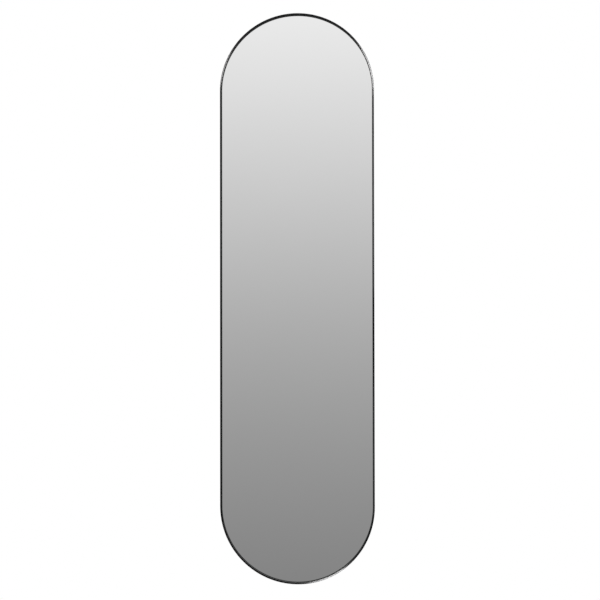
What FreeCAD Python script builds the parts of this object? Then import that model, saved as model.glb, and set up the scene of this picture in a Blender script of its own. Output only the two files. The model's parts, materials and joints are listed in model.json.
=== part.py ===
import FreeCAD, Part
import Sketcher
import math
import os
import re

# A wall-hung full length mirror: a pill-shaped glass set back inside a thin rolled steel hoop,
# bonded to a board that is screwed to tabs inside the hoop, and hung by two D-rings.
# X runs to the viewer's right, the glass faces -Y and Z is up. The origin is the middle of the
# rear rim, in the plane of the wall. A depth is measured from the wall towards the front.

# Driving dimensions, in millimetres and degrees
sizes = {
    # Hoop: a flat bar on edge, rolled into a pill-shaped loop and welded
    "overall_width": 460,
    "overall_height": 1700,
    "bar_thickness": 5,
    "bar_edge_round": 1,
    "least_flat": 0.4,
    # Mirror glass, the soft strip round its edge and the film on its back
    "glass_recess": 8,
    "glass_thickness": 4,
    "glass_arris": 0.3,
    "edge_strip_thickness": 0.6,
    "edge_strip_setback": 0.4,
    "film_thickness": 0.2,
    "film_margin": 2,
    # Foam tape between the film and the board
    "tape_thickness": 1.2,
    "tape_width": 25,
    "tape_side_margin": 80,
    "tape_end_gap": 30,
    # Backing board, and the space behind it for the hanging hardware
    "board_thickness": 9,
    "board_clearance": 2,
    "board_arris": 0.8,
    "rear_recess": 7.6,
    # Tabs welded inside the hoop
    "tab_width": 24,
    "tab_thickness": 2,
    "tab_corner": 4,
    "tab_hole_inset": 11,
    "tab_end_margin": 9,
    "side_tab_end_gap": 140,
    "end_tab_angle": 45,
    # Pan-head screws
    "screw_diameter": 3.5,
    "screw_tip": 2.5,
    "screw_head_diameter": 7,
    "screw_head_edge": 0.9,
    "screw_head_height": 2.3,
    "recess_span": 3.8,
    "recess_width": 0.9,
    "recess_depth": 1.3,
    "screw_cover": 1.5,
    "screw_hole_gap": 0.4,
    "pilot_gap": 0.05,
    "pilot_tip_gap": 0.3,
    # Hangers: a bent strap with a rolled eye, and a wire D-ring that swings in it
    "hanger_inset": 85,
    "hanger_drop": 100,
    "strap_width": 16,
    "strap_thickness": 1.2,
    "strap_hole_pitch": 16,
    "strap_end_margin": 8,
    "strap_end_round": 7,
    "eye_clearance": 0.15,
    "eye_end_gap": 0.6,
    "ring_wire": 3,
    "ring_corner": 4,
    "ring_leg": 2,
    "ring_side_gap": 1.5,
    "ring_butt_gap": 0.4,
    "ring_screw_gap": 1.5,
    # Rubber bumpers between the board and the wall
    "bumper_inset": 105,
    "bumper_rise": 40,
    "bumper_base_diameter": 16,
    "bumper_tip_diameter": 13,
    "bumper_tip_round": 0.8,
    "bumper_floor": 3.5,
    "bumper_head_gap": 0.7,
    "bumper_proud": 0.8,
}

# Lengths and places worked out from the driving dimensions
half_straight = "((overall_height - overall_width) / 2)"
outer_radius = "(overall_width / 2)"
inner_radius = "(overall_width / 2 - bar_thickness)"
glass_radius = f"({inner_radius} - edge_strip_thickness)"
film_radius = f"({glass_radius} - film_margin)"
board_radius = f"({inner_radius} - board_clearance)"

board_back = "rear_recess"
board_front = f"({board_back} + board_thickness)"
film_back = f"({board_front} + tape_thickness)"
glass_back = f"({film_back} + film_thickness)"
glass_front = f"({glass_back} + glass_thickness)"
frame_depth = f"({glass_front} + glass_recess)"

tape_length = f"(2 * ({half_straight} - tape_end_gap))"
tape_offset = f"({film_radius} - tape_side_margin - tape_width / 2)"
tab_reach = "(tab_hole_inset + tab_end_margin)"
end_tab_seat = f"sqrt({inner_radius}^2 - (tab_width / 2)^2)"
side_tab_rise = f"({half_straight} - side_tab_end_gap)"
screw_hole_radius = "(screw_diameter / 2 + screw_hole_gap)"
screw_bite = "(board_thickness - screw_cover)"

eye_inner = "(ring_wire / 2 + eye_clearance)"
eye_outer = f"({eye_inner} + strap_thickness)"
ring_half_width = "(strap_width / 2 + ring_side_gap + ring_corner)"
ring_shoulder = "(ring_corner + ring_leg)"
ring_drop = f"({ring_shoulder} + {ring_half_width})"
strap_hole_one = f"({ring_drop} + ring_wire / 2 + ring_screw_gap + screw_head_diameter / 2)"
strap_hole_two = f"({strap_hole_one} + strap_hole_pitch)"
strap_drop = f"({strap_hole_two} + strap_end_margin)"
hanger_side = f"({inner_radius} - hanger_inset)"
hanger_rise = f"({half_straight} - hanger_drop)"
hanger_depth = f"({board_back} - {eye_outer})"

bumper_side = f"({inner_radius} - bumper_inset)"
bumper_height = f"({half_straight} + bumper_rise)"
bumper_length = "(rear_recess + bumper_proud)"
bumper_bore = "(screw_head_diameter / 2 + bumper_head_gap)"

touching = 1e-6
doc = FreeCAD.newDocument("FullLengthMirror")
sheet = doc.addObject("Spreadsheet::Sheet", "Sizes")
for row, (alias, value) in enumerate(sizes.items(), start=1):
    sheet.set(f"A{row}", alias.replace("_", " "))
    sheet.set(f"B{row}", str(value))
    sheet.setAlias(f"B{row}", alias)
doc.recompute()

alias_words = re.compile(r"\b(" + "|".join(sizes) + r")\b")
parts = []


def cells(formula):
    """A formula in plain size names, with each name pointing at its cell."""
    return alias_words.sub(r"Sizes.\1", formula)


def number(formula):
    return float(sheet.evalExpression(cells(formula)))


def bind(item, prop, formula):
    item.setExpression(prop, cells(formula))


def place(item, x="0", y="0", z="0"):
    for axis, formula in zip("xyz", (x, y, z)):
        bind(item, f"Placement.Base.{axis}", formula)


def add_body(label, exported=True):
    body = doc.addObject("PartDesign::Body", label)
    body.Label = label
    if exported:
        parts.append(body)
    return body


def add_sketch(body, name, role, offset="0"):
    """A sketch on one of the body's own origin planes, moved along that plane's normal."""
    sketch = body.newObject("Sketcher::SketchObject", f"{body.Name}_{name}")
    support = [plane for plane in body.Origin.OriginFeatures if plane.Role == role]
    sketch.AttachmentSupport = (support[0], [""])
    sketch.MapMode = "FlatFace"
    bind(sketch, "AttachmentOffset.Base.z", offset)
    return sketch


def dimension(sketch, formula, kind, *geometry):
    index = sketch.addConstraint(Sketcher.Constraint(kind, *geometry, number(formula)))
    sketch.renameConstraint(index, f"size_{index}")
    bind(sketch, f"Constraints.size_{index}", formula)


def locate(sketch, point, formula, axis):
    """Hold one coordinate of a sketch point, measured from the sketch's origin."""
    kind, axis_line = {"x": ("DistanceX", -2), "y": ("DistanceY", -1)}[axis]
    value = number(formula)
    if abs(value) < touching:
        sketch.addConstraint(Sketcher.Constraint("PointOnObject", *point, axis_line))
    elif value > 0:
        dimension(sketch, formula, kind, -1, 1, *point)
    else:
        dimension(sketch, f"-({formula})", kind, *point, -1, 1)


def add_circle(sketch, x, y, radius):
    centre = FreeCAD.Vector(number(x), number(y), 0)
    circle = sketch.addGeometry(Part.Circle(centre, FreeCAD.Vector(0, 0, 1), number(radius)))
    dimension(sketch, radius, "Radius", circle)
    locate(sketch, (circle, 3), x, "x")
    locate(sketch, (circle, 3), y, "y")


def add_pill(sketch, radius):
    """A pill outline about the sketch's origin: two straight sides and two half-circle ends."""
    r = number(radius)
    rise = number(half_straight)
    normal = FreeCAD.Vector(0, 0, 1)
    top_circle = Part.Circle(FreeCAD.Vector(0, rise, 0), normal, r)
    bottom_circle = Part.Circle(FreeCAD.Vector(0, -rise, 0), normal, r)
    top = sketch.addGeometry(Part.ArcOfCircle(top_circle, 0, math.pi))
    left = sketch.addGeometry(Part.LineSegment(FreeCAD.Vector(-r, rise, 0), FreeCAD.Vector(-r, -rise, 0)))
    bottom = sketch.addGeometry(Part.ArcOfCircle(bottom_circle, math.pi, 2 * math.pi))
    right = sketch.addGeometry(Part.LineSegment(FreeCAD.Vector(r, -rise, 0), FreeCAD.Vector(r, rise, 0)))
    for first, second in ((top, left), (left, bottom), (bottom, right), (right, top)):
        sketch.addConstraint(Sketcher.Constraint("Tangent", first, 2, second, 1))
    sketch.addConstraint(Sketcher.Constraint("Vertical", left))
    sketch.addConstraint(Sketcher.Constraint("PointOnObject", top, 3, -2))
    sketch.addConstraint(Sketcher.Constraint("Symmetric", top, 3, bottom, 3, -1, 1))
    dimension(sketch, radius, "Radius", top)
    dimension(sketch, half_straight, "DistanceY", -1, 1, top, 3)


def add_outline(sketch, corners, arcs=None, closed=True):
    """Lines from corner to corner. arcs gives the centre and the turn, 1 or -1, of a rounded run."""
    arcs = arcs or {}
    points = [FreeCAD.Vector(number(x), number(y), 0) for x, y in corners]
    count = len(points) if closed else len(points) - 1
    ends = []
    for run in range(count):
        start = points[run]
        stop = points[(run + 1) % len(points)]
        if run not in arcs:
            line = sketch.addGeometry(Part.LineSegment(start, stop))
            ends.append(((line, 1), (line, 2)))
            continue
        x, y, turn = arcs[run]
        centre = FreeCAD.Vector(number(x), number(y), 0)
        first, last = (start, stop) if turn > 0 else (stop, start)
        angles = [math.atan2(p.y - centre.y, p.x - centre.x) for p in (first, last)]
        if angles[1] <= angles[0]:
            angles[1] += 2 * math.pi
        circle = Part.Circle(centre, FreeCAD.Vector(0, 0, 1), first.distanceToPoint(centre))
        arc = sketch.addGeometry(Part.ArcOfCircle(circle, *angles))
        ends.append(((arc, 1), (arc, 2)) if turn > 0 else ((arc, 2), (arc, 1)))
    for run in range(count if closed else count - 1):
        joint = (*ends[run][1], *ends[(run + 1) % count][0])
        sketch.addConstraint(Sketcher.Constraint("Coincident", *joint))
    held = [end[0] for end in ends] + ([] if closed else [ends[-1][1]])
    for point, (x, y) in zip(held, corners):
        locate(sketch, point, x, "x")
        locate(sketch, point, y, "y")
    for run, (x, y, turn) in arcs.items():
        level = abs(points[run].y - points[(run + 1) % len(points)].y) < touching
        centre = (ends[run][0][0], 3)
        locate(sketch, centre, y if level else x, "y" if level else "x")


def add_pad(body, sketch, length, reverse=False):
    pad = body.newObject("PartDesign::Pad", f"{sketch.Name}_pad")
    pad.Profile = sketch
    pad.Reversed = reverse
    bind(pad, "Length", length)
    doc.recompute()
    return pad


def add_pocket(body, sketch, depth, reverse=False):
    before = body.Shape.Volume
    pocket = body.newObject("PartDesign::Pocket", f"{sketch.Name}_cut")
    pocket.Profile = sketch
    pocket.Reversed = reverse
    bind(pocket, "Length", depth)
    doc.recompute()
    if body.Shape.Volume >= before:
        raise RuntimeError(f"{pocket.Name} cuts nothing")
    return pocket


def add_revolution(body, sketch):
    turned = body.newObject("PartDesign::Revolution", f"{sketch.Name}_turned")
    turned.Profile = sketch
    turned.ReferenceAxis = (sketch, ["V_Axis"])
    turned.Angle = 360
    doc.recompute()
    return turned


def edges_where(feature, test):
    """Names of the edges whose ends and middle all pass the test."""
    names = []
    for index, edge in enumerate(feature.Shape.Edges, start=1):
        if all(test(point) for point in edge.discretize(3)):
            names.append(f"Edge{index}")
    return names


def dress_edges(body, kind, feature, edges, size):
    """Round ("Fillet") or bevel ("Chamfer") the named edges of a feature."""
    dressed = body.newObject(f"PartDesign::{kind}", f"{feature.Name}_{kind.lower()}")
    dressed.Base = (feature, edges)
    bind(dressed, "Radius" if kind == "Fillet" else "Size", size)
    doc.recompute()
    return dressed


def flat_face_edges(feature, depth):
    """Edges of the feature that lie at one depth in front of the wall."""
    y = -number(depth)
    return edges_where(feature, lambda point: abs(point.y - y) < touching)


def make_pill(label, radius, back, front, arris=None, inner=None):
    """A flat pill, or a pill-shaped loop where an inner radius is given, between two depths."""
    body = add_body(label)
    sketch = add_sketch(body, "outline", "XZ_Plane", back)
    add_pill(sketch, radius)
    if inner:
        add_pill(sketch, inner)
    pad = add_pad(body, sketch, f"{front} - {back}")
    if arris:
        kind, size = arris
        dress_edges(body, kind, pad, flat_face_edges(pad, back) + flat_face_edges(pad, front), size)
    return body


def make_tape(label, x):
    """One strip of double-sided foam tape between the film and the board."""
    strip = doc.addObject("Part::Box", label)
    strip.Label = label
    bind(strip, "Length", "tape_width")
    bind(strip, "Width", "tape_thickness")
    bind(strip, "Height", tape_length)
    place(strip, f"{x} - tape_width / 2", f"-{film_back}", f"-{tape_length} / 2")
    parts.append(strip)


def make_tab(label, seat, angle, rise):
    """A welded tab: its root meets the hoop's inner wall, and it lies on the back of the board."""
    body = add_body(label)
    sketch = add_sketch(body, "outline", "XZ_Plane")
    half = "tab_width / 2"
    end = f"-{tab_reach}"
    add_outline(sketch, [("0", f"-{half}"), ("0", half), (end, half), (end, f"-{half}")])
    pad = add_pad(body, sketch, "tab_thickness", reverse=True)
    inner_edges = edges_where(pad, lambda point: abs(point.x - number(end)) < touching
                              and abs(abs(point.z) - number(half)) < touching)
    dress_edges(body, "Fillet", pad, inner_edges, f"min(tab_corner; tab_width / 2 - {screw_hole_radius})")
    hole = add_sketch(body, "hole", "XZ_Plane")
    add_circle(hole, "-tab_hole_inset", "0", screw_hole_radius)
    add_pocket(body, hole, "tab_thickness")
    body.Placement = FreeCAD.Placement(FreeCAD.Vector(), FreeCAD.Rotation(FreeCAD.Vector(0, -1, 0), 1))
    bind(body, "Placement.Rotation.Angle", angle)
    place(body, f"{seat} * cos({angle})", f"-{board_back}", f"{rise} + {seat} * sin({angle})")


def make_screw(name, clamped):
    """A pan-head screw with a cross recess. Its origin is under the head, and it points to -Y."""
    body = add_body(name, exported=False)
    length = f"({clamped} + {screw_bite})"
    thread = "screw_diameter / 2"
    head = "screw_head_diameter / 2"
    shoulder = f"-({length} - screw_tip)"
    profile = [("0", f"-{length}"), (thread, shoulder), (thread, "0"), (head, "0"),
               (head, "screw_head_edge"), ("0", "screw_head_height")]
    dome = "screw_head_height - screw_head_edge"
    dome_centre = f"screw_head_height - (({head})^2 + ({dome})^2) / (2 * ({dome}))"
    sketch = add_sketch(body, "profile", "XY_Plane")
    add_outline(sketch, profile, {4: ("0", dome_centre, 1)})
    add_revolution(body, sketch)
    cross = add_sketch(body, "recess", "XZ_Plane", "-screw_head_height")
    reach = "recess_span / 2"
    side = "recess_width / 2"
    quarter = [(reach, side), (side, side), (side, reach)]
    corners = []
    for turn in range(4):
        corners += quarter
        quarter = [(f"-({y})", x) for x, y in quarter]
    add_outline(cross, corners)
    add_pocket(body, cross, "recess_depth", reverse=True)
    return body


def make_screw_group(label, clamped, spots):
    """Like screws in one group. Each spot is where a screw's axis meets the board, in X and Z."""
    screw = make_screw(f"{label}_pattern", clamped)
    copies = []
    for index, (x, z) in enumerate(spots):
        copy = doc.addObject("App::Link", f"{label}_{index}")
        copy.LinkedObject = screw
        place(copy, x, f"{clamped} - {board_back}", z)
        copies.append(copy)
    group = doc.addObject("Part::Compound", label)
    group.Label = label
    group.Links = copies
    parts.append(group)


def make_strap(label, x):
    """A hanger strap bent from sheet: a flat leg on the board, and a rolled eye for the ring."""
    body = add_body(label)
    sketch = add_sketch(body, "profile", "YZ_Plane", "-strap_width / 2")
    lip = f"({eye_inner} - eye_end_gap)"
    lip_drop = f"sqrt({eye_outer}^2 - {lip}^2)"
    inward = f"{eye_inner} / {eye_outer}"
    profile = [(f"-{eye_outer}", f"-{strap_drop}"), (f"-{eye_outer}", "0"),
               (f"-{lip}", f"-{lip_drop}"), (f"-{lip} * {inward}", f"-{lip_drop} * {inward}"),
               (f"-{eye_inner}", "0"), (f"-{eye_inner}", f"-{strap_drop}")]
    add_outline(sketch, profile, {1: ("0", "0", -1), 3: ("0", "0", 1)})
    pad = add_pad(body, sketch, "strap_width")
    end_edges = edges_where(pad, lambda point: abs(point.z + number(strap_drop)) < touching
                            and abs(abs(point.x) - number("strap_width / 2")) < touching)
    dress_edges(body, "Fillet", pad, end_edges, "min(strap_end_round; (strap_width - least_flat) / 2)")
    holes = add_sketch(body, "holes", "XZ_Plane", eye_inner)
    for drop in (strap_hole_one, strap_hole_two):
        add_circle(holes, "0", f"-{drop}", screw_hole_radius)
    add_pocket(body, holes, "strap_thickness", reverse=True)
    place(body, x, f"-{hanger_depth}", hanger_rise)


def make_ring(label, x):
    """A D-ring bent from wire, hanging down. Its wire ends meet inside the strap's eye."""
    body = add_body(label)
    path = add_sketch(body, "path", "XZ_Plane")
    bend = f"({ring_half_width} - ring_corner)"
    butt = "ring_butt_gap / 2"
    right = [(butt, "0"), (bend, "0"),
             (ring_half_width, "-ring_corner"), (ring_half_width, f"-{ring_shoulder}")]
    left = [(f"-{across}", down) for across, down in reversed(right)]
    arcs = {1: (bend, "-ring_corner", -1),
            3: ("0", f"-{ring_shoulder}", -1),
            5: (f"-{bend}", "-ring_corner", -1)}
    add_outline(path, right + left, arcs, closed=False)
    section = add_sketch(body, "section", "YZ_Plane", butt)
    add_circle(section, "0", "0", "ring_wire / 2")
    doc.recompute()
    wire = body.newObject("PartDesign::AdditivePipe", f"{label}_wire")
    wire.Profile = section
    wire.Spine = path
    doc.recompute()
    place(body, x, f"-{hanger_depth}", hanger_rise)


def make_bumper(label, x, z):
    """A tapered rubber bumper with a sunk seat for its screw. Its base lies on the board."""
    body = add_body(label)
    base = "bumper_base_diameter / 2"
    tip = "bumper_tip_diameter / 2"
    profile = [(screw_hole_radius, "0"), (base, "0"), (tip, bumper_length), (bumper_bore, bumper_length),
               (bumper_bore, "bumper_floor"), (screw_hole_radius, "bumper_floor")]
    sketch = add_sketch(body, "profile", "XY_Plane")
    add_outline(sketch, profile)
    turned = add_revolution(body, sketch)
    tip_flat = f"({tip} - {bumper_bore} - least_flat)"
    tip_edges = edges_where(turned, lambda point: abs(point.y - number(bumper_length)) < touching)
    dress_edges(body, "Fillet", turned, tip_edges, f"min(bumper_tip_round; {tip_flat} / 2)")
    place(body, x, f"-{board_back}", z)


# Hoop, glass, edge strip, film and tape, from the outside inwards
make_pill("frame_hoop", outer_radius, "0", frame_depth,
          ("Fillet", "min(bar_edge_round; (bar_thickness - least_flat) / 2)"), inner_radius)
make_pill("mirror_glass", glass_radius, glass_back, glass_front, ("Chamfer", "glass_arris"))
make_pill("edge_strip", inner_radius, glass_back, f"({glass_front} - edge_strip_setback)", inner=glass_radius)
make_pill("safety_film", film_radius, film_back, glass_back)
for side, x in (("left", f"-{tape_offset}"), ("centre", "0"), ("right", tape_offset)):
    make_tape(f"foam_tape_{side}", x)

# Tabs: three on each straight side, and two on each rounded end
tabs = {}
for side, angle in (("right", "0"), ("left", "180")):
    for level, rise in (("upper", side_tab_rise), ("middle", "0"), ("lower", f"-{side_tab_rise}")):
        tabs[f"{side}_{level}"] = (inner_radius, angle, rise)
for level, sign in (("top", ""), ("bottom", "-")):
    tabs[f"{level}_right"] = (end_tab_seat, f"({sign}(90 - end_tab_angle))", f"{sign}{half_straight}")
    tabs[f"{level}_left"] = (end_tab_seat, f"({sign}(90 + end_tab_angle))", f"{sign}{half_straight}")
for name, (seat, angle, rise) in tabs.items():
    make_tab(f"board_tab_{name}", seat, angle, rise)

# Hangers near the top, and a bumper towards each corner
for side, x in (("left", f"-{hanger_side}"), ("right", hanger_side)):
    make_strap(f"hanger_strap_{side}", x)
    make_ring(f"hanger_ring_{side}", x)
bumper_spots = {}
for level, sign in (("top", ""), ("bottom", "-")):
    for side, x in (("left", f"-{bumper_side}"), ("right", bumper_side)):
        bumper_spots[f"{level}_{side}"] = (x, f"{sign}{bumper_height}")
for name, (x, z) in bumper_spots.items():
    make_bumper(f"wall_bumper_{name}", x, z)

# Screws: through each tab, strap and bumper into the board
tab_screw_spots = []
for seat, angle, rise in tabs.values():
    inset = f"({seat} - tab_hole_inset)"
    tab_screw_spots.append((f"{inset} * cos({angle})", f"{rise} + {inset} * sin({angle})"))
hanger_screw_spots = []
for x in (f"-{hanger_side}", hanger_side):
    for drop in (strap_hole_one, strap_hole_two):
        hanger_screw_spots.append((x, f"{hanger_rise} - {drop}"))
make_screw_group("tab_screws", "tab_thickness", tab_screw_spots)
make_screw_group("hanger_screws", "strap_thickness", hanger_screw_spots)
make_screw_group("bumper_screws", "bumper_floor", list(bumper_spots.values()))

# Board, with a blind pilot hole for every screw
board = make_pill("backing_board", board_radius, board_back, board_front, ("Chamfer", "board_arris"))
pilots = add_sketch(board, "pilots", "XZ_Plane", board_back)
for x, z in tab_screw_spots + hanger_screw_spots + list(bumper_spots.values()):
    add_circle(pilots, x, z, "screw_diameter / 2 + pilot_gap")
add_pocket(board, pilots, f"{screw_bite} + pilot_tip_gap", reverse=True)

# Every object has to be sound before any shape is written
doc.recompute()
for item in doc.Objects:
    if {"Invalid", "Error"} & set(item.State):
        raise RuntimeError(f"{item.Name} failed: {item.State}")
for part in parts:
    if part.Shape.isNull() or not part.Shape.isValid() or not part.Shape.Solids:
        raise RuntimeError(f"{part.Label} has no sound solid")

os.makedirs("parts", exist_ok=True)
for part in parts:
    part.Shape.exportStep(f"parts/{part.Label}.step")
print(f"{len(parts)} sub-parts written")
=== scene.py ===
import json
import math

import bmesh
import bpy
from mathutils import Matrix, Quaternion, Vector


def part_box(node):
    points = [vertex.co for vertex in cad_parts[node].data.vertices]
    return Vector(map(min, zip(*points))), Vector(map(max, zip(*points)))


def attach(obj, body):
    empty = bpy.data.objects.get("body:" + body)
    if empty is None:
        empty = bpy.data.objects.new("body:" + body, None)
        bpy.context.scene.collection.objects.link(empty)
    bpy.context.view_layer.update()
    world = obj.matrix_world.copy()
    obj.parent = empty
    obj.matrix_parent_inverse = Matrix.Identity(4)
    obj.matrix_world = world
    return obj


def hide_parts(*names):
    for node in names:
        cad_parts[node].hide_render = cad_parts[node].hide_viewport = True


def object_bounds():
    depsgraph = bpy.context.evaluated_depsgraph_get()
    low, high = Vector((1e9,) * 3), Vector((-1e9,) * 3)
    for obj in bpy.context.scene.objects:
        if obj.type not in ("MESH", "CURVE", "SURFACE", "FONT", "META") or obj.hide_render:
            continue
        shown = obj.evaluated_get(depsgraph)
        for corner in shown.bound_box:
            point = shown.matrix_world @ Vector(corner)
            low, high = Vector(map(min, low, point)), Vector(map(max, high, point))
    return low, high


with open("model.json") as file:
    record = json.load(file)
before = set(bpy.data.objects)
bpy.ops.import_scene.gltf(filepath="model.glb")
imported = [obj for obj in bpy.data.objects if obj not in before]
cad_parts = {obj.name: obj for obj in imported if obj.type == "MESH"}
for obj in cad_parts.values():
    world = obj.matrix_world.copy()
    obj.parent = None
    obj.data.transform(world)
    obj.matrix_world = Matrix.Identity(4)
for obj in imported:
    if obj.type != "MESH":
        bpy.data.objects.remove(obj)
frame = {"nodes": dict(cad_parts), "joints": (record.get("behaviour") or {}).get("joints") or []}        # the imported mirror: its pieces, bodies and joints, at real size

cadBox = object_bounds()
scene = bpy.context.scene
scene.view_settings.view_transform = "Standard"

# A full length pill mirror in a thin black hoop. X is to the right, the glass faces -Y, Z is up.
mm = 0.001
glassLow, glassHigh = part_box("mirror_glass")
rise = glassHigh.z - glassHigh.x            # the end arcs turn about points this far above and below
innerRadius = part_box("edge_strip")[1].x     # inner wall of the hoop
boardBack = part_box("backing_board")[1].y    # rear face of the board, which carries the hardware
print("frame loaded,", len(frame["nodes"]), "nodes")


# Nodes and materials

def linearColour(hexCode):
    channels = [int(hexCode[start:start + 2], 16) / 255 for start in (1, 3, 5)]
    return [c / 12.92 if c <= 0.04045 else ((c + 0.055) / 1.055) ** 2.4 for c in channels] + [1.0]


def addNode(tree, kind, inputs, **settings):
    node = tree.nodes.new("ShaderNode" + kind)
    for name, value in settings.items():
        setattr(node, name, value)
    for socket, value in inputs.items():
        if isinstance(value, bpy.types.NodeSocket):
            tree.links.new(value, node.inputs[socket])
        else:
            node.inputs[socket].default_value = value
    return node


def makeMaterial(name, surface, look):
    material = bpy.data.materials.new(name)
    material.use_nodes = True
    tree = material.node_tree
    tree.nodes.clear()
    coords = addNode(tree, "TexCoord", {}).outputs["Object"]
    shader = addNode(tree, "BsdfPrincipled", surface(tree, coords, look))
    addNode(tree, "OutputMaterial", {"Surface": shader.outputs["BSDF"]})
    return material


noiseSpan = (0.3, 0.7)   # most values of a noise texture lie between these


def perMm(size):
    return 1 / (size * mm)   # texture scale that gives features of this size


def noiseAt(tree, coords, size, detail):
    inputs = {"Vector": coords, "Scale": perMm(size), "Detail": detail}
    return addNode(tree, "TexNoise", inputs).outputs[0]


# Each of the two colours is a hex code, a socket or a ready colour
def blend(tree, share, *colours):
    first, second = (linearColour(colour) if isinstance(colour, str) else colour for colour in colours)
    return addNode(tree, "Mix", {0: share, 6: first, 7: second}, data_type="RGBA").outputs[2]


# Carries the span of a value over to the two ends
def stretch(tree, value, span, ends, **settings):
    inputs = {"Value": value, "From Min": span[0], "From Max": span[1],
              "To Min": ends[0], "To Max": ends[1]}
    return addNode(tree, "MapRange", inputs, **settings).outputs[0]


def emboss(tree, height, depth, strength=1.0):
    inputs = {"Height": height, "Distance": depth * mm, "Strength": strength}
    return addNode(tree, "Bump", inputs).outputs[0]


coatLook = {
    "colours": ("#080809", "#0d0d0e"),
    "peel": 2.4,             # mm between the bumps of the orange peel, drawn a little coarse
    "peelDepth": 0.006,      # mm
    "patch": 70,             # mm, slow changes of sheen along the bar
    "roughness": (0.16, 0.20),
    "gloss": 0.15,           # a low sheen for a clear resin
}


# Polyester powder coat, sprayed and oven cured: satin black, with a fine orange peel in the sheen
def powderCoat(tree, coords, look):
    patch = noiseAt(tree, coords, look["patch"], 3.0)
    peel = noiseAt(tree, coords, look["peel"], 1.0)
    return {"Base Color": blend(tree, patch, *look["colours"]),
            "Roughness": stretch(tree, patch, noiseSpan, look["roughness"]),
            "Normal": emboss(tree, peel, look["peelDepth"]),
            "IOR": 1.5, "Specular IOR Level": look["gloss"]}


silverLook = {
    "colours": ("#f3f3f3", "#f1f1f1"),
    "haze": 240,             # mm, faint wipe marks on the clean glass
    "roughness": (0.006, 0.014),
}


# Float glass, wet silvered and polished: a clear, neutral reflection with hardly any haze
def silveredGlass(tree, coords, look):
    haze = noiseAt(tree, coords, look["haze"], 4.0)
    return {"Base Color": blend(tree, haze, *look["colours"]),
            "Roughness": stretch(tree, haze, noiseSpan, look["roughness"]), "Metallic": 1.0}


edgeLook = {
    "colours": ("#56736a", "#86a398"),
    "grit": 0.6,             # mm, drawn coarser than the real wheel marks
    "gritDepth": 0.02,       # mm
    "roughness": (0.35, 0.55),
}


# Float glass edge, ground and seamed: frosted green, with fine wheel marks
def groundGlass(tree, coords, look):
    grit = noiseAt(tree, coords, look["grit"], 2.0)
    return {"Base Color": blend(tree, grit, *look["colours"]),
            "Roughness": stretch(tree, grit, (0, 1), look["roughness"]),
            "Normal": emboss(tree, grit, look["gritDepth"]), "IOR": 1.52}


paintLook = {
    "colours": ("#5d6266", "#6d7276"),
    "flow": 9,               # mm, ripple of the curtain-coated paint
    "flowDepth": 0.03,       # mm
}


# Mirror backing paint, curtain coated and baked: dull grey with a slight flow ripple
def backingPaint(tree, coords, look):
    flow = noiseAt(tree, coords, look["flow"], 2.0)
    return {"Base Color": blend(tree, flow, *look["colours"]), "Roughness": 0.6,
            "Normal": emboss(tree, flow, look["flowDepth"])}


foamLooks = {                # cell and depth in mm
    "black": {"colours": ("#1f1f20", "#101011"), "cell": 0.7, "cellDepth": 0.12, "relief": 0.6},
    "white": {"colours": ("#eceae4", "#dcdad2"), "cell": 0.7, "cellDepth": 0.10, "relief": 0.6},
}


# Closed-cell polyethylene foam, slit into strips: matt, with cut cells like pin pricks
def closedCellFoam(tree, coords, look):
    voronoi = addNode(tree, "TexVoronoi", {"Vector": coords, "Scale": perMm(look["cell"])})
    cells = voronoi.outputs["Distance"]
    return {"Base Color": blend(tree, cells, *look["colours"]), "Roughness": 0.88,
            "Normal": emboss(tree, cells, look["cellDepth"], look["relief"])}


filmLook = {
    "colours": ("#7d858a", "#a3abae"),
    "tape": 15.08,           # mm between the woven tapes of the scrim
    "tapeDepth": 0.05,       # mm
    "wave": math.pi / 10,    # period of a wave texture whose scale is 1
}


# Polyethylene safety film with a woven scrim, pressed on: grey, with a coarse basket weave
def wovenFilm(tree, coords, look):
    waves = []
    for direction in ("X", "Z"):
        wave = addNode(tree, "TexWave", {"Vector": coords, "Scale": look["wave"] * perMm(look["tape"])},
                       bands_direction=direction, wave_profile="SIN")
        waves.append(wave.outputs["Fac"])
    weave = addNode(tree, "Math", {0: waves[0], 1: waves[1]}, operation="MAXIMUM").outputs[0]
    return {"Base Color": blend(tree, weave, *look["colours"]), "Roughness": 0.5,
            "Normal": emboss(tree, weave, look["tapeDepth"])}


boardLooks = {               # depth of the relief in mm
    "face": {"colours": ("#a3815b", "#b7956d"), "fleck": "#80603f", "hair": "#cdb089", "roughness": 0.72,
             "depth": 0.04},
    "edge": {"colours": ("#7f5f3f", "#9d7a55"), "fleck": "#664a30", "hair": "#ab8a63", "roughness": 0.9,
             "depth": 0.12},
}
boardGrain = {
    "cloud": 40,             # mm, slow mottling of the pressed mat
    "fibre": (1.3, 1.3, 6.0),   # mm, single fibres, drawn coarser than real so that they show
    "turns": (25, 80, 140),  # degrees, the ways that the fibres lie
    "fleckFrom": 0.64,       # noise above this is a dark bark fleck
    "hairFrom": 0.36,        # noise below this is a pale hair
    "fade": 0.10,            # over which a fleck or a hair comes in
    "fleckShare": 0.7,
    "hairShare": 0.5,
}


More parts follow.
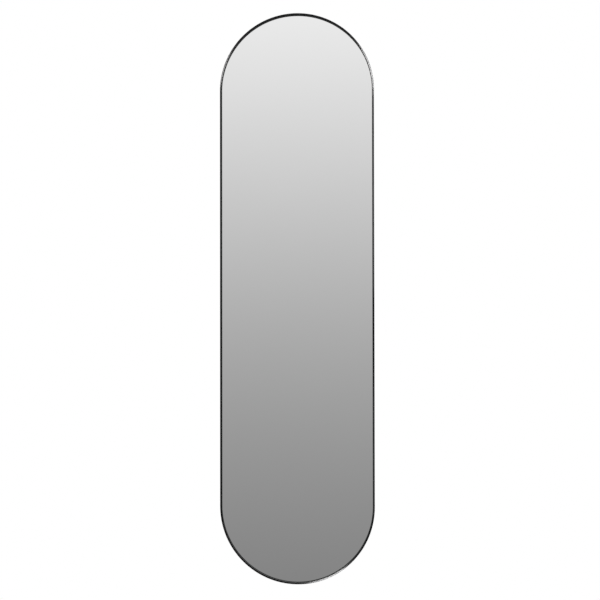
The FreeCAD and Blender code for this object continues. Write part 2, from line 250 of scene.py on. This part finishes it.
# Medium-density fibreboard, pressed and sanded: warm tan, mottled, with short fibres lying every way
def sandedFibreboard(tree, coords, look):
    grain = boardGrain
    tone = blend(tree, noiseAt(tree, coords, grain["cloud"], 6.0), *look["colours"])
    flecked = (grain["fleckFrom"], grain["fleckFrom"] + grain["fade"])
    haired = (grain["hairFrom"], grain["hairFrom"] - grain["fade"])
    height = 0.0
    for turn in grain["turns"]:
        # the fibres of each layer are shifted too, so that no two layers match
        lie = addNode(tree, "Mapping", {"Vector": coords, "Rotation": (0, math.radians(turn), 0),
                                        "Location": (turn, 0, 0)})
        drawn = addNode(tree, "Mapping", {"Vector": lie.outputs[0],
                                          "Scale": [perMm(size) for size in grain["fibre"]]})
        noise = addNode(tree, "TexNoise", {"Vector": drawn.outputs[0], "Scale": 1.0, "Detail": 3.0})
        fibre = noise.outputs[0]
        tone = blend(tree, stretch(tree, fibre, flecked, (0, grain["fleckShare"])), tone, look["fleck"])
        tone = blend(tree, stretch(tree, fibre, haired, (0, grain["hairShare"])), tone, look["hair"])
        height = addNode(tree, "Math", {0: fibre, 1: height}, operation="ADD").outputs[0]
    return {"Base Color": tone, "Roughness": look["roughness"],
            "Normal": emboss(tree, height, look["depth"])}


zincLooks = {                # grain and depth in mm
    "sheet": {"colours": ("#a4a8ad", "#cfd1d0"), "roughness": (0.26, 0.42), "grain": 2.2, "depth": 0.01},
    "wire": {"colours": ("#b0b3b6", "#d6d7d5"), "roughness": (0.18, 0.30), "grain": 1.2, "depth": 0.01},
}


# Zinc-plated steel, barrel plated: cool bright grey, cloudy with tumbling marks
def zincPlate(tree, coords, look):
    cloud = noiseAt(tree, coords, look["grain"], 4.0)
    return {"Base Color": blend(tree, cloud, *look["colours"]),
            "Roughness": stretch(tree, cloud, noiseSpan, look["roughness"]),
            "Normal": emboss(tree, cloud, look["depth"]), "Metallic": 1.0}


rubberLook = {
    "colours": ("#161617", "#262627"),
    "grain": 0.5,            # mm, spark texture of the mould
    "grainDepth": 0.02,      # mm
    "bloom": 6,              # mm, pale patches
}


# Nitrile rubber, compression moulded: matt black with a slight pale bloom
def mouldedRubber(tree, coords, look):
    bloom = noiseAt(tree, coords, look["bloom"], 3.0)
    grain = noiseAt(tree, coords, look["grain"], 2.0)
    return {"Base Color": blend(tree, bloom, *look["colours"]), "Roughness": 0.72,
            "Normal": emboss(tree, grain, look["grainDepth"])}


blackCoat = makeMaterial("powder_coat_satin_black", powderCoat, coatLook)
silver = makeMaterial("float_glass_silvered", silveredGlass, silverLook)
glassEdge = makeMaterial("float_glass_ground_edge", groundGlass, edgeLook)
glassBack = makeMaterial("mirror_paint_baked_grey", backingPaint, paintLook)
blackFoam = makeMaterial("pe_foam_cut_black", closedCellFoam, foamLooks["black"])
whiteFoam = makeMaterial("pe_foam_tape_white", closedCellFoam, foamLooks["white"])
greyFilm = makeMaterial("pe_film_woven_grey", wovenFilm, filmLook)
boardFace = makeMaterial("mdf_sanded_face", sandedFibreboard, boardLooks["face"])
boardEdge = makeMaterial("mdf_sawn_edge", sandedFibreboard, boardLooks["edge"])
zincSheet = makeMaterial("zinc_plated_sheet_tumbled", zincPlate, zincLooks["sheet"])
zincWire = makeMaterial("zinc_plated_wire_drawn", zincPlate, zincLooks["wire"])
blackRubber = makeMaterial("nitrile_rubber_moulded", mouldedRubber, rubberLook)
print("materials ready,", len(bpy.data.materials))


# Mesh helpers

mergeGap = 1e-6          # m, points nearer than this are one
sharpTurn = 50           # degrees, edges that turn by more are eased
easeSegments = 2
squareOn = 0.9           # a face lies square to Y when its normal has more than this along Y
arcSteps = 128           # steps in the half turn at each end of the pill


def only(kind, geom):
    return [item for item in geom if isinstance(item, kind)]


def unique(items):
    return list(dict.fromkeys(items))


def roundCorners(bm, geom, radius, segments, affect="EDGES"):
    bmesh.ops.bevel(bm, geom=geom, offset=radius, offset_type="OFFSET", segments=segments, profile=0.5,
                    affect=affect, clamp_overlap=True, material=-1)


def sharpEdges(bm):
    limit = math.radians(sharpTurn)
    return [edge for edge in bm.edges if edge.is_manifold and edge.calc_face_angle() > limit]


def cleanMesh(bm):
    bmesh.ops.remove_doubles(bm, verts=bm.verts, dist=mergeGap)
    bmesh.ops.recalc_face_normals(bm, faces=bm.faces)


def addPiece(bm, name, materials, body="mirror", nodes=(), sharp=35):
    for face in bm.faces:
        face.smooth = True
    mesh = bpy.data.meshes.new(name)
    bm.to_mesh(mesh)
    bm.free()
    mesh.set_sharp_from_angle(angle=math.radians(sharp))
    for material in materials:
        mesh.materials.append(material)
    piece = bpy.data.objects.new(name, mesh)
    scene.collection.objects.link(piece)
    shading = piece.modifiers.new("weightedNormal", "WEIGHTED_NORMAL")
    shading.keep_sharp = True
    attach(piece, body)
    if nodes:
        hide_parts(*nodes)


def joinPoints(bm, verts, closed):
    following = verts[1:] + verts[:1] if closed else verts[1:]
    for pair in zip(verts, following):
        bm.edges.new(pair)


def drawSection(bm, points, closed):
    verts = [bm.verts.new((across, deep, rise)) for across, deep in points]
    joinPoints(bm, verts, closed)
    return verts


# Draws a loop of edges out by a move, and returns the verts and edges of its new end
def drawOut(bm, edges, move):
    drawn = bmesh.ops.extrude_edge_only(bm, edges=edges)["geom"]
    verts = only(bmesh.types.BMVert, drawn)
    bmesh.ops.translate(bm, verts=verts, vec=move)
    ends = [edge for edge in only(bmesh.types.BMEdge, drawn) if all(v in verts for v in edge.verts)]
    return verts, ends


# A half turn over the top, down the left side, a half turn underneath, then the right side is closed
def sweepPill(bm):
    section = bm.edges[:]
    over = bmesh.ops.spin(bm, geom=bm.verts[:] + section, cent=(0, 0, rise), axis=(0, -1, 0),
                          angle=math.pi, steps=arcSteps)["geom_last"]
    lower, lowerEdges = drawOut(bm, only(bmesh.types.BMEdge, over), (0, 0, -2 * rise))
    under = bmesh.ops.spin(bm, geom=lower + lowerEdges, cent=(0, 0, -rise), axis=(0, -1, 0),
                           angle=math.pi, steps=arcSteps)["geom_last"]
    bmesh.ops.bridge_loops(bm, edges=section + only(bmesh.types.BMEdge, under))
    cleanMesh(bm)


# Hoop: flat bar on edge, rolled and welded, with rolled round edges

hoop = {"edgeRound": 1.0 * mm, "edgeSegments": 5}
low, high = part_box("frame_hoop")
bm = bmesh.new()
corners = drawSection(bm, [(innerRadius, low.y), (high.x, low.y),
                           (high.x, high.y), (innerRadius, high.y)], True)
roundCorners(bm, corners, hoop["edgeRound"], hoop["edgeSegments"], "VERTICES")
sweepPill(bm)
addPiece(bm, "hoop", [blackCoat], nodes=["frame_hoop"])

# Glass: silver seen through its front, a ground edge with small arrises, painted back

glass = {"arris": 0.3 * mm, "arrisSegments": 1}
bm = bmesh.new()
corners = drawSection(bm, [(0, glassLow.y), (glassHigh.x, glassLow.y),
                           (glassHigh.x, glassHigh.y), (0, glassHigh.y)], False)
roundCorners(bm, corners[1:3], glass["arris"], glass["arrisSegments"], "VERTICES")
sweepPill(bm)
for face in bm.faces:
    facing = round(face.normal.y) if abs(face.normal.y) > squareOn else 0
    face.material_index = facing + 1     # front, edge or back
addPiece(bm, "glass", [silver, glassEdge, glassBack], nodes=["mirror_glass"], sharp=20)

# Edge strip: foam between the glass and the hoop

foamStrip = {"lipRound": 0.15 * mm, "lipSegments": 3}
low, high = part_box("edge_strip")
bm = bmesh.new()
corners = drawSection(bm, [(glassHigh.x, low.y), (high.x, low.y),
                           (high.x, high.y), (glassHigh.x, high.y)], True)
roundCorners(bm, corners[:2], foamStrip["lipRound"], foamStrip["lipSegments"], "VERTICES")
sweepPill(bm)
addPiece(bm, "edge_foam", [blackFoam], nodes=["edge_strip"])

# Board: sanded faces, sawn edge, eased arrises

board = {"arris": 0.8 * mm, "arrisSegments": 3}
low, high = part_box("backing_board")
bm = bmesh.new()
corners = drawSection(bm, [(0, low.y), (high.x, low.y), (high.x, high.y), (0, high.y)], False)
roundCorners(bm, corners[1:3], board["arris"], board["arrisSegments"], "VERTICES")
sweepPill(bm)
for face in bm.faces:
    face.material_index = 0 if abs(face.normal.y) > squareOn else 1
addPiece(bm, "back_board", [boardFace, boardEdge], nodes=["backing_board"], sharp=40)

# Film and tapes keep their CAD shape: flat sheets shut between the glass and the board

for node, material in (("safety_film", greyFilm), ("foam_tape_left", whiteFoam),
                       ("foam_tape_centre", whiteFoam), ("foam_tape_right", whiteFoam)):
    materials = frame["nodes"][node].data.materials
    materials.clear()
    materials.append(material)
print("hoop, glass, strip, board, film and tapes in place")


# Tabs: laser-cut plates inside the hoop, each with a weld bead along its root

tab = {
    "width": 24 * mm, "reach": 20 * mm, "corner": 4 * mm, "cornerSegments": 8,
    "holeInset": 11 * mm, "holeRadius": 2.15 * mm, "holeSegments": 40,
    "edgeRound": 0.25 * mm, "level": 480 * mm, "endAngle": 45,
}
tabFront, tabBack = (corner.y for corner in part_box("board_tab_right_middle"))
endSeat = math.sqrt(innerRadius ** 2 - (tab["width"] / 2) ** 2)
tabSpots = {}
for side, angle in (("right", 0), ("left", 180)):
    for level, height in (("upper", tab["level"]), ("middle", 0), ("lower", -tab["level"])):
        tabSpots[f"{side}_{level}"] = (innerRadius, angle, height)
for end, sign in (("top", 1), ("bottom", -1)):
    tabSpots[f"{end}_right"] = (endSeat, sign * (90 - tab["endAngle"]), sign * rise)
    tabSpots[f"{end}_left"] = (endSeat, sign * (90 + tab["endAngle"]), sign * rise)


# A plate drawn in X and Z from a wire outline and its holes, with thickness towards the wall
def fillPlate(bm, holes, holeRadius, holeSegments, front, back):
    for x, z in holes:
        place = Matrix.Translation((x, front, z)) @ Matrix.Rotation(math.pi / 2, 4, "X")
        bmesh.ops.create_circle(bm, segments=holeSegments, radius=holeRadius, matrix=place)
    bmesh.ops.triangle_fill(bm, use_beauty=True, edges=bm.edges[:], normal=(0, -1, 0))
    thick = bmesh.ops.extrude_face_region(bm, geom=bm.faces[:])["geom"]
    bmesh.ops.translate(bm, verts=only(bmesh.types.BMVert, thick), vec=(0, back - front, 0))
    cleanMesh(bm)


# Turns a mesh drawn with its root at the origin about the Y axis, and sets the root on the hoop
def seatOnHoop(bm, seat, angle, height):
    turn = Matrix.Rotation(math.radians(-angle), 4, "Y")
    root = Vector((seat, 0, 0))
    bmesh.ops.transform(bm, matrix=Matrix.Translation((0, 0, height)) @ turn @ Matrix.Translation(root),
                        verts=bm.verts[:])


for name, spot in tabSpots.items():
    bm = bmesh.new()
    half = tab["width"] / 2
    outline = [bm.verts.new((x, tabFront, z)) for x, z in
               ((0, -half), (0, half), (-tab["reach"], half), (-tab["reach"], -half))]
    joinPoints(bm, outline, True)
    roundCorners(bm, outline[2:], tab["corner"], tab["cornerSegments"], "VERTICES")
    fillPlate(bm, [(-tab["holeInset"], 0)], tab["holeRadius"], tab["holeSegments"], tabFront, tabBack)
    # the edges of the root stay sharp, where the tab meets the hoop
    eased = [edge for edge in sharpEdges(bm) if min(v.co.x for v in edge.verts) < -mergeGap]
    roundCorners(bm, eased, tab["edgeRound"], easeSegments)
    seatOnHoop(bm, *spot)
    addPiece(bm, f"tab_{name}", [blackCoat], nodes=[f"board_tab_{name}"])

# Weld beads: a row of frozen ripples in the corner between each tab and the hoop
weld = {
    "length": 17 * mm, "radius": 1.5 * mm, "segments": 12,
    "ripple": 1.1 * mm, "rippleDepth": 0.12,     # the depth is a share of the radius
    "startRadius": 0.35,     # share of the radius at the end where the bead starts
    "leastSwell": 0.12,      # square of the least share of the radius along the bead
    "taper": 4,              # a higher power keeps the bead thick closer to its ends
    "inset": 0.5 * mm, "sunk": 0.35 * mm,
}


def layBead(bm, length):
    steps = round(length / weld["ripple"]) * 2
    loop = bmesh.ops.create_circle(bm, cap_ends=True, segments=weld["segments"],
                                   radius=weld["radius"] * weld["startRadius"],
                                   matrix=Matrix.Translation((0, 0, -length / 2)))["verts"]
    edges = unique(edge for vert in loop for edge in vert.link_edges)
    for step in range(1, steps + 1):
        loop, edges = drawOut(bm, edges, (0, 0, length / steps))
        along = abs(2 * step / steps - 1)
        swell = math.sqrt(max(weld["leastSwell"], 1 - along ** weld["taper"]))
        swell = swell * (1 - weld["rippleDepth"] * (step % 2))
        spread = weld["radius"] * swell / max(vert.co.xy.length for vert in loop)
        bmesh.ops.scale(bm, vec=(spread, spread, 1), verts=loop)
    bmesh.ops.contextual_create(bm, geom=edges)
    cleanMesh(bm)


beads = bmesh.new()
for name, spot in tabSpots.items():
    bm = bmesh.new()
    layBead(bm, weld["length"])
    bmesh.ops.translate(bm, verts=bm.verts[:], vec=(-weld["inset"], tabBack - weld["sunk"], 0))
    seatOnHoop(bm, *spot)
    oneBead = bpy.data.meshes.new("bead")
    bm.to_mesh(oneBead)
    bm.free()
    beads.from_mesh(oneBead)
    bpy.data.meshes.remove(oneBead)
addPiece(beads, "tab_welds", [blackCoat], sharp=60)
print("tabs and welds in place,", len(tabSpots))


# Screws: pan heads with a cross recess, one turned mesh copied to every spot

screw = {
    "radius": 1.75 * mm, "tip": 2.5 * mm, "bite": 7.5 * mm,
    "headRadius": 3.5 * mm, "headEdge": 0.9 * mm, "headHeight": 2.3 * mm,
    "headRound": 0.22 * mm, "headSegments": 3,
    "recessSpan": 3.8 * mm, "recessWidth": 0.9 * mm, "recessDepth": 1.3 * mm, "recessTaper": 0.62,
    "turns": 40, "domeSteps": 7,
    "turnStep": 53,          # degrees between the recesses of neighbours
}


def turnScrew(bm, clamped):
    length = clamped + screw["bite"]
    points = [(0, -length), (screw["radius"], screw["tip"] - length), (screw["radius"], 0),
              (screw["headRadius"], 0), (screw["headRadius"], screw["headEdge"])]
    verts = [bm.verts.new((x, y, 0)) for x, y in points]
    joinPoints(bm, verts, False)
    dome = screw["headHeight"] - screw["headEdge"]
    domeRadius = (screw["headRadius"] ** 2 + dome ** 2) / (2 * dome)
    bmesh.ops.spin(bm, geom=[verts[-1]], cent=(0, screw["headHeight"] - domeRadius, 0), axis=(0, 0, 1),
                   angle=math.asin(screw["headRadius"] / domeRadius), steps=screw["domeSteps"])
    roundCorners(bm, verts[3:5], screw["headRound"], screw["headSegments"], "VERTICES")
    bmesh.ops.spin(bm, geom=bm.verts[:] + bm.edges[:], cent=(0, 0, 0), axis=(0, 1, 0), angle=2 * math.pi,
                   steps=screw["turns"], use_merge=True)
    cleanMesh(bm)


def crownFaces(bm):
    return [face for face in bm.faces if face.calc_center_median().y > screw["headEdge"]]


# The dome is cut along the sides of a cross, and the cross is pushed in
def pressRecess(bm):
    reach = screw["recessSpan"] / 2
    side = screw["recessWidth"] / 2
    for axis in (Vector((1, 0, 0)), Vector((0, 0, 1))):
        for offset in (-reach, -side, side, reach):
            crown = crownFaces(bm)
            edges = unique(edge for face in crown for edge in face.edges)
            verts = unique(vert for face in crown for vert in face.verts)
            bmesh.ops.bisect_plane(bm, geom=crown + edges + verts, dist=mergeGap / 10,
                                   plane_co=axis * offset, plane_no=axis)
    cross = []
    for face in crownFaces(bm):
        middle = face.calc_center_median()
        narrow, wide = sorted((abs(middle.x), abs(middle.z)))
        if narrow < side and wide < reach:
            cross.append(face)
    floor = only(bmesh.types.BMVert, bmesh.ops.extrude_face_region(bm, geom=cross)["geom"])
    bmesh.ops.delete(bm, geom=[face for face in cross if face.is_valid], context="FACES")
    bmesh.ops.translate(bm, verts=floor, vec=(0, -screw["recessDepth"], 0))
    bmesh.ops.scale(bm, vec=(screw["recessTaper"], 1, screw["recessTaper"]), verts=floor)


def addScrews(name, node, clamped, spots):
    bm = bmesh.new()
    turnScrew(bm, clamped)
    pressRecess(bm)
    pattern = bm.verts[:] + bm.edges[:] + bm.faces[:]
    for index, (x, z) in enumerate(spots):
        copy = bmesh.ops.duplicate(bm, geom=pattern)["geom"]
        turn = Matrix.Rotation(math.radians(screw["turnStep"] * index), 4, "Y")
        bmesh.ops.transform(bm, verts=only(bmesh.types.BMVert, copy),
                            matrix=Matrix.Translation((x, boardBack + clamped, z)) @ turn)
    bmesh.ops.delete(bm, geom=only(bmesh.types.BMVert, pattern), context="VERTS")
    bmesh.ops.recalc_face_normals(bm, faces=bm.faces)
    addPiece(bm, name, [zincSheet], nodes=[node])


tabScrewSpots = []
for seat, angle, height in tabSpots.values():
    reach = seat - tab["holeInset"]
    turn = math.radians(angle)
    tabScrewSpots.append((reach * math.cos(turn), height + reach * math.sin(turn)))
addScrews("screws_tabs", "tab_screws", tabBack - tabFront, tabScrewSpots)


# Hangers: a strap bent round the ring's wire, and the D-ring that swings in it

strap = {
    "width": 16 * mm, "thickness": 1.2 * mm, "edgeRound": 0.2 * mm,
    "eyeTurn": 291.6,        # degrees
    "eyeSteps": 40,
    "holes": (26 * mm, 42 * mm), "holeRadius": 2.15 * mm, "holeSegments": 40,
    "endRound": 7 * mm, "endSegments": 10,
}
ring = {
    "wire": 1.5 * mm, "wireSegments": 20, "halfWidth": 13.5 * mm, "leg": 2 * mm,
    "corner": 4 * mm, "cornerSteps": 10, "bowSteps": 48,
    "buttGap": 0.2 * mm, "endRound": 0.25 * mm,
}


def addStrap(name, node, pivot):
    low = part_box(node)[0]
    half = strap["width"] / 2
    front = low.y
    back = front + strap["thickness"]
    bm = bmesh.new()
    outline = [bm.verts.new((pivot.x + x, front, z)) for x, z in
               ((-half, pivot.z), (half, pivot.z), (half, low.z), (-half, low.z))]
    joinPoints(bm, outline, True)
    roundCorners(bm, outline[2:], strap["endRound"], strap["endSegments"], "VERTICES")
    fillPlate(bm, [(pivot.x, pivot.z - drop) for drop in strap["holes"]], strap["holeRadius"],
              strap["holeSegments"], front, back)
    top = [face for face in bm.faces if all(abs(v.co.z - pivot.z) < mergeGap for v in face.verts)]
    rim = unique(edge for face in top for edge in face.edges)
    bmesh.ops.delete(bm, geom=top, context="FACES_ONLY")
    rimVerts = unique(vert for edge in rim for vert in edge.verts)
    lip = bmesh.ops.spin(bm, geom=rimVerts + rim, cent=pivot, axis=(-1, 0, 0), steps=strap["eyeSteps"],
                         angle=math.radians(strap["eyeTurn"]))["geom_last"]
    bmesh.ops.contextual_create(bm, geom=only(bmesh.types.BMEdge, lip))
    cleanMesh(bm)
    roundCorners(bm, sharpEdges(bm), strap["edgeRound"], easeSegments)
    addPiece(bm, name, [zincSheet], nodes=[node])


def addRing(name, node, body, pivot):
    bm = bmesh.new()
    bend = ring["halfWidth"] - ring["corner"]
    shoulder = ring["corner"] + ring["leg"]
    start = pivot + Vector((ring["buttGap"], 0, 0))
    bmesh.ops.create_circle(bm, segments=ring["wireSegments"], radius=ring["wire"],
                            matrix=Matrix.Translation(start) @ Matrix.Rotation(math.pi / 2, 4, "Y"))
    edges = bm.edges[:]
    firstEdges = edges
    straight = bend - ring["buttGap"]
    # the wire runs straight, then turns about a point given in X and Z, by degrees and in steps
    runs = [((straight, 0, 0), (bend, -ring["corner"]), 90, ring["cornerSteps"]),
            ((0, 0, -ring["leg"]), (0, -shoulder), 180, ring["bowSteps"]),
            ((0, 0, ring["leg"]), (-bend, -ring["corner"]), 90, ring["cornerSteps"]),
            ((straight, 0, 0), None, 0, 0)]
    for run, centre, angle, steps in runs:
        loop, edges = drawOut(bm, edges, run)
        if centre:
            about = pivot + Vector((centre[0], 0, centre[1]))
            turned = bmesh.ops.spin(bm, geom=loop + edges, cent=about, axis=(0, 1, 0),
                                    angle=math.radians(angle), steps=steps)["geom_last"]
            edges = only(bmesh.types.BMEdge, turned)
    for end in (firstEdges, edges):
        bmesh.ops.contextual_create(bm, geom=end)
    cleanMesh(bm)
    roundCorners(bm, sharpEdges(bm), ring["endRound"], easeSegments)
    addPiece(bm, name, [zincWire], body=body, nodes=[node])


hangerScrewSpots = []
for joint in frame["joints"]:
    body = joint["child"]
    side = body.split("_")[-1]
    pivot = Vector(joint["pos_m"])
    addStrap(f"strap_{side}", f"hanger_strap_{side}", pivot)
    addRing(f"ring_wire_{side}", f"hanger_ring_{side}", body, pivot)
    for drop in strap["holes"]:
        hangerScrewSpots.append((pivot.x, pivot.z - drop))
addScrews("screws_hangers", "hanger_screws", strap["thickness"], hangerScrewSpots)


# Bumpers: moulded rubber cones with a sunk seat for the screw

bumper = {
    "boreRadius": 4.2 * mm, "floor": 3.5 * mm, "holeRadius": 2.15 * mm, "tipRadius": 6.5 * mm,
    "tipRound": 0.8 * mm, "tipSegments": 5, "footRound": 0.4 * mm, "footSegments": 3,
    "turns": 64,
}


def addBumper(name, node):
    low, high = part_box(node)
    middle = (low + high) / 2
    # to the whole millimetre, because the box of a turned mesh is off by a hair
    x, z, footRadius = (round(size, 3) for size in (middle.x, middle.z, (high.z - low.z) / 2))
    bm = bmesh.new()
    floor = low.y + bumper["floor"]
    points = [(bumper["holeRadius"], low.y), (footRadius, low.y),
              (bumper["tipRadius"], high.y), (bumper["boreRadius"], high.y),
              (bumper["boreRadius"], floor), (bumper["holeRadius"], floor)]
    verts = [bm.verts.new((x + radius, y, z)) for radius, y in points]
    joinPoints(bm, verts, True)
    roundCorners(bm, verts[2:4], bumper["tipRound"], bumper["tipSegments"], "VERTICES")
    roundCorners(bm, [verts[1], verts[4]], bumper["footRound"], bumper["footSegments"], "VERTICES")
    bmesh.ops.spin(bm, geom=bm.verts[:] + bm.edges[:], cent=(x, 0, z), axis=(0, 1, 0), angle=2 * math.pi,
                   steps=bumper["turns"], use_merge=True)
    cleanMesh(bm)
    addPiece(bm, name, [blackRubber], nodes=[node])
    return x, z


bumperSpots = []
for corner in ("top_left", "top_right", "bottom_left", "bottom_right"):
    bumperSpots.append(addBumper(f"bumper_{corner}", f"wall_bumper_{corner}"))
addScrews("screws_bumpers", "bumper_screws", bumper["floor"], bumperSpots)
print("bumpers in place,", len(bumperSpots))


# Studio: a dome that is bright above and dim below, a pale floor, a softbox behind, small strips in front

studio = {
    # sine of the height angle, and the brightness that a smooth curve is drawn towards there
    "dome": ((-1.0, 0.50), (-0.40, 0.17), (-0.20, 0.274), (0.0, 0.457),
             (0.20, 0.814), (0.40, 1.166), (0.70, 0.95)),
    # brighter patches of the dome, each by its range in the X, Y and Z of a direction
    "patches": (
        {"x": (0.86, 1.2), "y": (-0.45, 0.30), "z": (0.06, 0.60), "edge": 0.06, "level": 2.5},
        {"x": (-1.2, -0.86), "y": (-0.45, 0.30), "z": (0.06, 0.60), "edge": 0.06, "level": 2.5},
    ),
    "floorDrop": 0.25,       # m between the mirror and the floor, as the mirror hangs clear of it
    "floorRadius": 14.0,     # m
    "floorSegments": 96,
    "floorFade": (0.30, 0.70),   # m from the middle, where the paper goes over to plain white
    "paper": "#f4f4f4",
    "white": "#ffffff",
}


# 1 within the two limits and 0 outside, with soft ends
def softBand(tree, value, limits, edge):
    middle, half = sum(limits) / 2, (limits[1] - limits[0]) / 2
    off = addNode(tree, "Math", {0: value, 1: middle}, operation="SUBTRACT")
    away = addNode(tree, "Math", {0: off.outputs[0]}, operation="ABSOLUTE")
    return stretch(tree, away.outputs[0], (half - edge, half + edge), (1, 0),
                   interpolation_type="SMOOTHSTEP")


def buildWorld():
    world = bpy.data.worlds.new("studioDome")
    scene.world = world
    world.use_nodes = True
    tree = world.node_tree
    tree.nodes.clear()
    direction = addNode(tree, "TexCoord", {}).outputs["Generated"]
    parts = addNode(tree, "SeparateXYZ", {0: direction}).outputs
    lowest, highest = studio["dome"][0][0], studio["dome"][-1][0]
    ramp = addNode(tree, "ValToRGB", {"Fac": stretch(tree, parts["Z"], (lowest, highest), (0, 1))})
    ramp.color_ramp.interpolation = "B_SPLINE"
    for index, (sine, level) in enumerate(studio["dome"]):
        position = (sine - lowest) / (highest - lowest)
        ends = ramp.color_ramp.elements
        stop = ends[0] if index == 0 else ends[-1] if position == 1 else ends.new(position)
        stop.position = position
        stop.color = (level, level, level, 1)
    light = ramp.outputs[0]
    for patch in studio["patches"]:
        share = 1.0
        for axis in "xyz":
            band = softBand(tree, parts[axis.upper()], patch[axis], patch["edge"])
            share = addNode(tree, "Math", {0: share, 1: band}, operation="MULTIPLY").outputs[0]
        light = blend(tree, share, light, [patch["level"]] * 3 + [1.0])
    seen = addNode(tree, "LightPath", {}).outputs["Is Camera Ray"]
    sky = blend(tree, seen, light, studio["white"])
    backdrop = addNode(tree, "Background", {"Color": sky, "Strength": 1.0})
    addNode(tree, "OutputWorld", {"Surface": backdrop.outputs[0]})


def buildFloor():
    bm = bmesh.new()
    level = cadBox[0].z - studio["floorDrop"]
    bmesh.ops.create_circle(bm, cap_ends=True, segments=studio["floorSegments"],
                            radius=studio["floorRadius"], matrix=Matrix.Translation((0, 0, level)))
    mesh = bpy.data.meshes.new("floor")
    bm.to_mesh(mesh)
    bm.free()
    material = bpy.data.materials.new("studio_paper_white")
    material.use_nodes = True
    tree = material.node_tree
    tree.nodes.clear()
    coords = addNode(tree, "TexCoord", {}).outputs["Object"]
    flat = addNode(tree, "VectorMath", {0: coords, 1: (1, 1, 0)}, operation="MULTIPLY")
    away = addNode(tree, "VectorMath", {0: flat.outputs[0]}, operation="LENGTH")
    fade = stretch(tree, away.outputs["Value"], studio["floorFade"], (0, 1),
                   interpolation_type="SMOOTHSTEP")
    seen = addNode(tree, "LightPath", {}).outputs["Is Camera Ray"]
    share = addNode(tree, "Math", {0: fade, 1: seen}, operation="MULTIPLY")
    paper = addNode(tree, "BsdfDiffuse", {"Color": linearColour(studio["paper"])})
    white = addNode(tree, "Emission", {"Color": linearColour(studio["white"]), "Strength": 1.0})
    mixed = addNode(tree, "MixShader", {0: share.outputs[0], 1: paper.outputs[0], 2: white.outputs[0]})
    below = addNode(tree, "NewGeometry", {}).outputs["Backfacing"]
    clear = addNode(tree, "BsdfTransparent", {})
    sided = addNode(tree, "MixShader", {0: below, 1: mixed.outputs[0], 2: clear.outputs[0]})
    addNode(tree, "OutputMaterial", {"Surface": sided.outputs[0]})
    mesh.materials.append(material)
    floor = bpy.data.objects.new("studio_floor", mesh)
    scene.collection.objects.link(floor)
    floor.visible_glossy = False     # the mirror shows the dome, not the floor's edge


# Rear softbox: its place and its size across and up in metres, its roll in degrees
rearBox = {"at": (-1.6, 2.6, 1.6), "size": (2.8, 2.8), "roll": 0, "watts": 30}


def buildSoftbox(name, place, aim, box):
    lamp = bpy.data.lights.new(name, "AREA")
    lamp.shape = "RECTANGLE"
    lamp.size, lamp.size_y = box["size"]
    lamp.energy = box["watts"]
    holder = bpy.data.objects.new(name, lamp)
    scene.collection.objects.link(holder)
    holder.location = place
    upright = (aim - place).to_track_quat("-Z", "Y")
    holder.rotation_euler = (upright @ Quaternion((0, 0, 1), math.radians(box["roll"]))).to_euler()
    holder.visible_camera = False
    return holder


# Gleams: small strips that light the hoop alone, each for a spot of its front rim, given in X and Z
gleams = {
    "away": 0.35,            # m from the spot to its strip
    "grid": 50,              # degrees that the light spreads over, which keeps it near the spot
    "strips": {
        "lowGleam": {"spot": (0.093, -0.828), "size": (0.025, 0.12), "roll": -66, "watts": 0.072},
        "highGleam": {"spot": (0.2187, 0.683), "size": (0.03, 0.14), "roll": 16, "watts": 0.092},
        "leftGleam": {"spot": (-0.2165, 0.690), "size": (0.02, 0.11), "roll": -18, "watts": 0.031},
        "rightGleam": {"spot": (0.2275, 0.340), "size": (0.025, 0.70), "roll": 0, "watts": 0.044},
        "footGleam": {"spot": (0.2275, -0.460), "size": (0.025, 0.44), "roll": 0, "watts": 0.011},
    },
}


# A strip stands where the flat of the rim mirrors it to the camera
def buildGleams():
    hoopOnly = bpy.data.collections.new("hoopOnly")
    hoopOnly.objects.link(bpy.data.objects["hoop"])
    for name, strip in gleams["strips"].items():
        x, z = strip["spot"]
        spot = Vector((x, cadBox[0].y, z))
        sight = (spot - scene.camera.location).normalized()
        sight.y = -sight.y
        holder = buildSoftbox(name, spot + sight * gleams["away"], spot, strip)
        holder.data.spread = math.radians(gleams["grid"])
        holder.light_linking.receiver_collection = hoopOnly


# Camera: close to square on, a little to the right of the glass and below its middle
shot = {
    "distance": 3.2,         # m to the front rim
    "across": 1.7848,        # m that the square picture takes in there
    "aim": (9.1 * mm, -6.5 * mm),      # X and Z in the middle of the picture
    "turn": 2.7,             # degrees
    "tilt": 0.7,
    "roll": 0.080,
    "reach": 100,            # m, past the far edge of the floor
}


def buildCamera():
    camera = bpy.data.cameras.new("productShot")
    camera.lens = camera.sensor_width * shot["distance"] / shot["across"]
    camera.clip_end = shot["reach"]
    holder = bpy.data.objects.new("productShot", camera)
    scene.collection.objects.link(holder)
    angles = (90 + shot["tilt"], shot["roll"], shot["turn"])
    holder.rotation_euler = [math.radians(angle) for angle in angles]
    x, z = shot["aim"]
    backward = holder.rotation_euler.to_matrix().col[2]
    holder.location = Vector((x, cadBox[0].y, z)) + backward * shot["distance"]
    scene.camera = holder


buildWorld()
buildFloor()
buildSoftbox("rearBox", Vector(rearBox["at"]), Vector(), rearBox)
buildCamera()
buildGleams()
print("studio ready")
